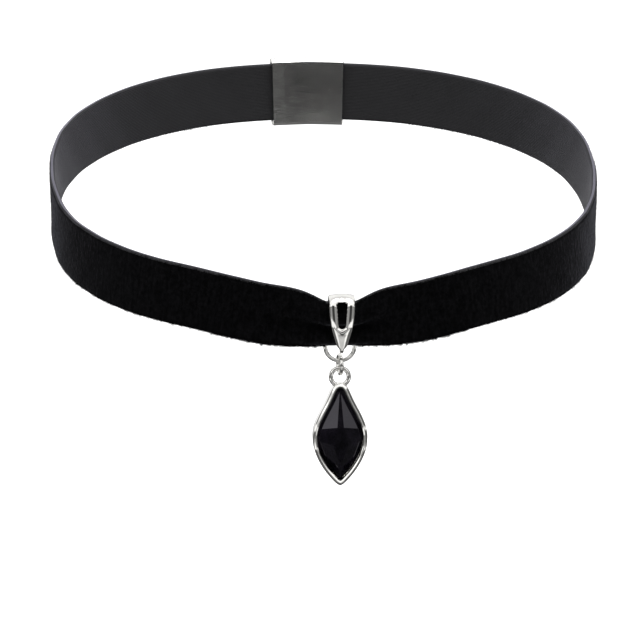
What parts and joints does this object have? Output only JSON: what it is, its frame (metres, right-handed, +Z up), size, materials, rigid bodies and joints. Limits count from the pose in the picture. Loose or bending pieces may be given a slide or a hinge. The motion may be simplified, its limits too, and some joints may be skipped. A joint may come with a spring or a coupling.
{
  "type": "choker necklace",
  "caption": "Velvet ribbon choker, gathered at the front by a silver bail that carries a faceted black kite-shaped drop.",
  "frame": {"origin": "on the axis of the neck, level with the middle of the ribbon at the front", "axes": "+Z up along the neck, +X to the wearer's left, -Y the front, where the drop hangs"},
  "size_m": [0.1162, 0.1138, 0.074],
  "materials": {
    "velvet": "black velvet pile",
    "silver": "polished silver plate",
    "black_stone": "polished faceted jet glass"
  },
  "bodies": {
    "choker": {"ribbon": "velvet", "clasp": "silver", "bail": "silver"},
    "link": {"jump_ring": "silver"},
    "drop": {"pendant_setting": "silver", "pendant_stone": "black_stone"}
  },
  "joints": [
    {"name": "link_swing", "type": "hinge", "parent": "choker", "child": "link", "pos_m": [0, -0.0504, -0.00993], "axis": [1, 0, 0], "range_deg": [-70, 70]},
    {"name": "drop_swing", "type": "hinge", "parent": "link", "child": "drop", "pos_m": [0, -0.0504, -0.01261], "axis": [0, 1, 0], "range_deg": [-70, 70]}
  ]
}
